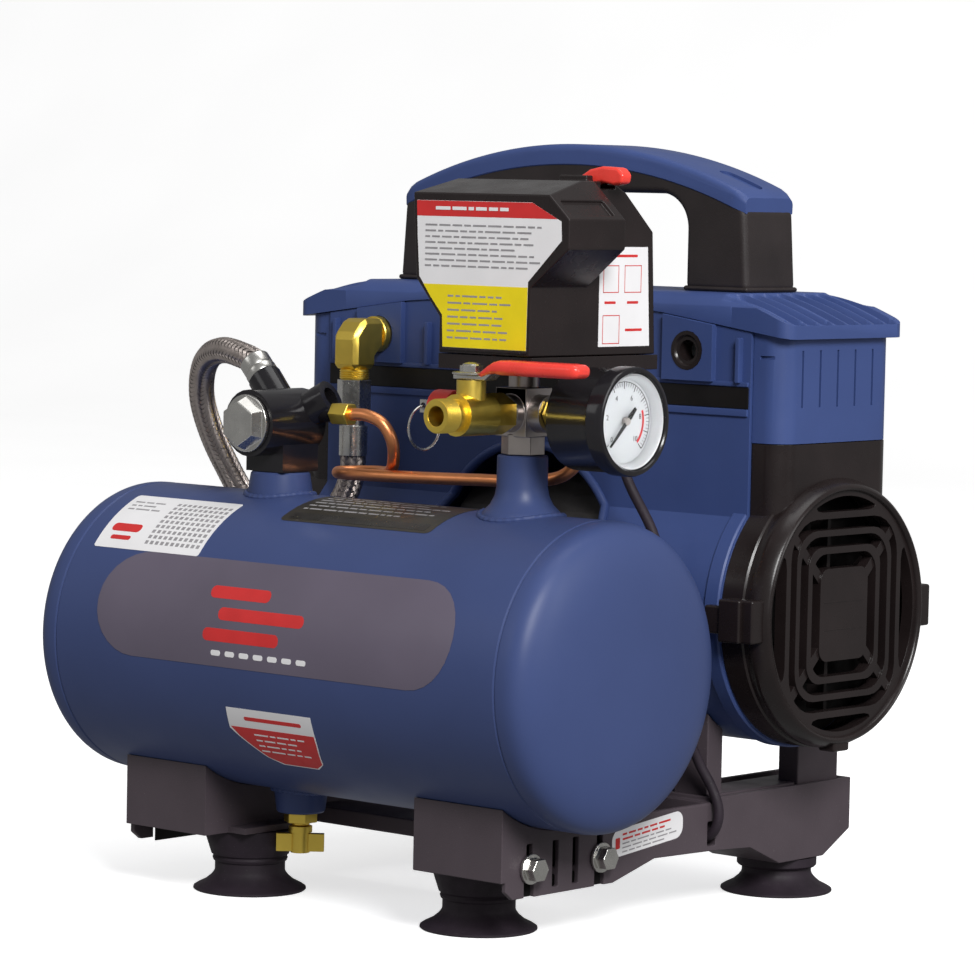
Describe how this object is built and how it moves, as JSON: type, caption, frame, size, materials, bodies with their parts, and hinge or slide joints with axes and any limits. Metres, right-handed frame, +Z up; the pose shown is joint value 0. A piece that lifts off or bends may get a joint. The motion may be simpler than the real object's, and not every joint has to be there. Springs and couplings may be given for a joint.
{
  "type": "air compressor",
  "caption": "Portable air compressor: horizontal tank with gauge, outlet valve and pressure switch before a handled twin-cylinder motor and pump on suction feet.",
  "frame": {"origin": "middle of the footprint, on the surface under the feet", "axes": "+X along the tank towards the gauge end, -Y towards the tank side, +Z up"},
  "size_m": [0.32, 0.2994, 0.359],
  "materials": {
    "tank_paint": "satin powder coat",
    "blue_plastic": "satin moulded",
    "black_gloss": "semi-gloss moulded",
    "black_matte": "fine texture",
    "rail_plastic": "grained",
    "rubber": "matt",
    "zinc_steel": "zinc plated",
    "nickel": "nickel plated, cast",
    "brass": "machined",
    "copper": "drawn copper",
    "steel_braid": "woven wire",
    "black_enamel": "gloss enamel",
    "red_vinyl": "dipped vinyl",
    "red_paint": "anodised look",
    "dial_white": "printed",
    "lens": "clear",
    "nylon": "plain",
    "iron": "dark laminated",
    "machined_steel": "machined",
    "alloy": "cast"
  },
  "bodies": {
    "frame": {"tank_shell": "tank_paint", "motor_housing": "blue_plastic", "end_housing_left": "blue_plastic", "end_housing_right": "blue_plastic", "lid": "blue_plastic", "handle_shell": "blue_plastic", "fan_cover_left": "black_gloss", "fan_cover_right": "black_gloss", "switch_cover": "black_gloss", "switch_base": "black_gloss", "handle_grip": "black_matte", "side_rail_left": "rail_plastic", "side_rail_right": "rail_plastic", "cross_brace": "rail_plastic", "motor_leg_left": "rail_plastic", "motor_leg_right": "rail_plastic", "foot_front_left": "rubber", "foot_front_right": "rubber", "foot_rear_left": "rubber", "foot_rear_right": "rubber", "rubber_mount_left": "rubber", "rubber_mount_right": "rubber", "motor_lead": "rubber", "rail_bolt_front_left": "zinc_steel", "rail_bolt_front_right": "zinc_steel", "rail_bolt_rear_left": "zinc_steel", "rail_bolt_rear_right": "zinc_steel", "hose_nut": "zinc_steel", "check_valve_cap": "zinc_steel", "outlet_cross": "nickel", "discharge_elbow": "brass", "ball_valve_body": "brass", "safety_valve_body": "brass", "drain_valve_body": "brass", "unloader_tube": "copper", "discharge_hose": "steel_braid", "check_valve_body": "black_enamel", "gauge_case": "black_enamel", "safety_valve_cap": "red_paint", "gauge_dial": "dial_white", "gauge_lens": "lens", "motor_stator": "iron", "cylinder_left": "alloy", "cylinder_right": "alloy"},
    "drain_screw": {"drain_wing": "brass"},
    "outlet_lever": {"valve_ball": "zinc_steel", "valve_lever": "zinc_steel", "valve_lever_sleeve": "red_vinyl"},
    "power_knob": {"switch_knob": "red_vinyl"},
    "pointer": {"gauge_needle": "black_enamel"},
    "relief_pin": {"safety_valve_pin": "zinc_steel"},
    "pull_ring": {"safety_ring": "zinc_steel"},
    "rotor": {"motor_shaft": "machined_steel", "crank_left": "machined_steel", "crank_right": "machined_steel", "cooling_fan_left": "black_matte", "cooling_fan_right": "black_matte"},
    "piston_left": {"piston_rod_left": "alloy"},
    "piston_right": {"piston_rod_right": "alloy"},
    "check_poppet": {"check_valve_poppet": "nylon"}
  },
  "joints": [
    {"name": "drain_turn", "type": "hinge", "parent": "frame", "child": "drain_screw", "pos_m": [-0.042, -0.07975, 0.028], "axis": [0, 0, 1], "range_deg": [0, 270]},
    {"name": "outlet_turn", "type": "hinge", "parent": "frame", "child": "outlet_lever", "pos_m": [0.092, -0.11575, 0.2365], "axis": [0, 0, 1], "range_deg": [-90, 0]},
    {"name": "knob_tilt", "type": "hinge", "parent": "frame", "child": "power_knob", "pos_m": [0.106, -0.05575, 0.341], "axis": [0, 1, 0], "range_deg": [-20, 0]},
    {"name": "needle_turn", "type": "hinge", "parent": "frame", "child": "pointer", "pos_m": [0.151, -0.07975, 0.2356], "axis": [1, 0, 0], "range_deg": [-270, 0]},
    {"name": "relief_pull", "type": "slide", "parent": "frame", "child": "relief_pin", "axis": [-1, 0, 0], "range_m": [0, 0.003], "stiffness_N_per_m": 400},
    {"name": "ring_swing", "type": "hinge", "parent": "relief_pin", "child": "pull_ring", "pos_m": [0.032, -0.07975, 0.2365], "axis": [0, 1, 0], "range_deg": [-30, 90]},
    {"name": "rotor_spin", "type": "hinge", "parent": "frame", "child": "rotor", "pos_m": [0, 0.07725, 0.141], "axis": [1, 0, 0], "continuous": true},
    {"name": "piston_left_stroke", "type": "slide", "parent": "frame", "child": "piston_left", "axis": [0, 0, 1], "range_m": [-0.004, 0.004]},
    {"name": "piston_right_stroke", "type": "slide", "parent": "frame", "child": "piston_right", "axis": [0, 0, 1], "range_m": [-0.004, 0.004]},
    {"name": "poppet_lift", "type": "slide", "parent": "frame", "child": "check_poppet", "axis": [0, -1, 0], "range_m": [0, 0.003], "stiffness_N_per_m": 150}
  ]
}
